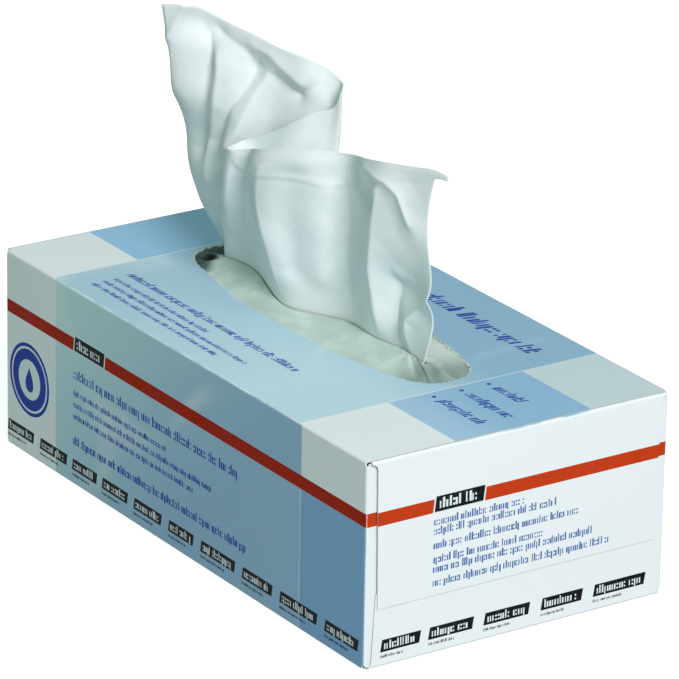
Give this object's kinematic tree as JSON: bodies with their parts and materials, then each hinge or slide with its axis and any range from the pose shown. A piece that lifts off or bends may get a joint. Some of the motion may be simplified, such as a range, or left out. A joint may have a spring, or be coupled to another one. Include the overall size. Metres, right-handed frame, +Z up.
{
  "type": "box of paper hand towels",
  "caption": "Flat paperboard carton of folded paper hand towels, with an oval tear-out, a slit film under it and one pleated sheet standing up through the slit.",
  "frame": {"origin": "middle of the carton's underside", "axes": "+Z up, X along the carton's length, -Y towards its front long side"},
  "size_m": [0.23, 0.12, 0.167],
  "materials": {
    "printed_board": "coated board with flat printed colour fields",
    "clear_film": "clear glossy film",
    "stack_paper": "soft matt paper",
    "sheet_paper": "soft matt paper"
  },
  "bodies": {
    "root": {"carton": "printed_board", "film_insert": "clear_film", "tissue_stack": "stack_paper", "standing_tissue": "sheet_paper"}
  },
  "joints": []
}
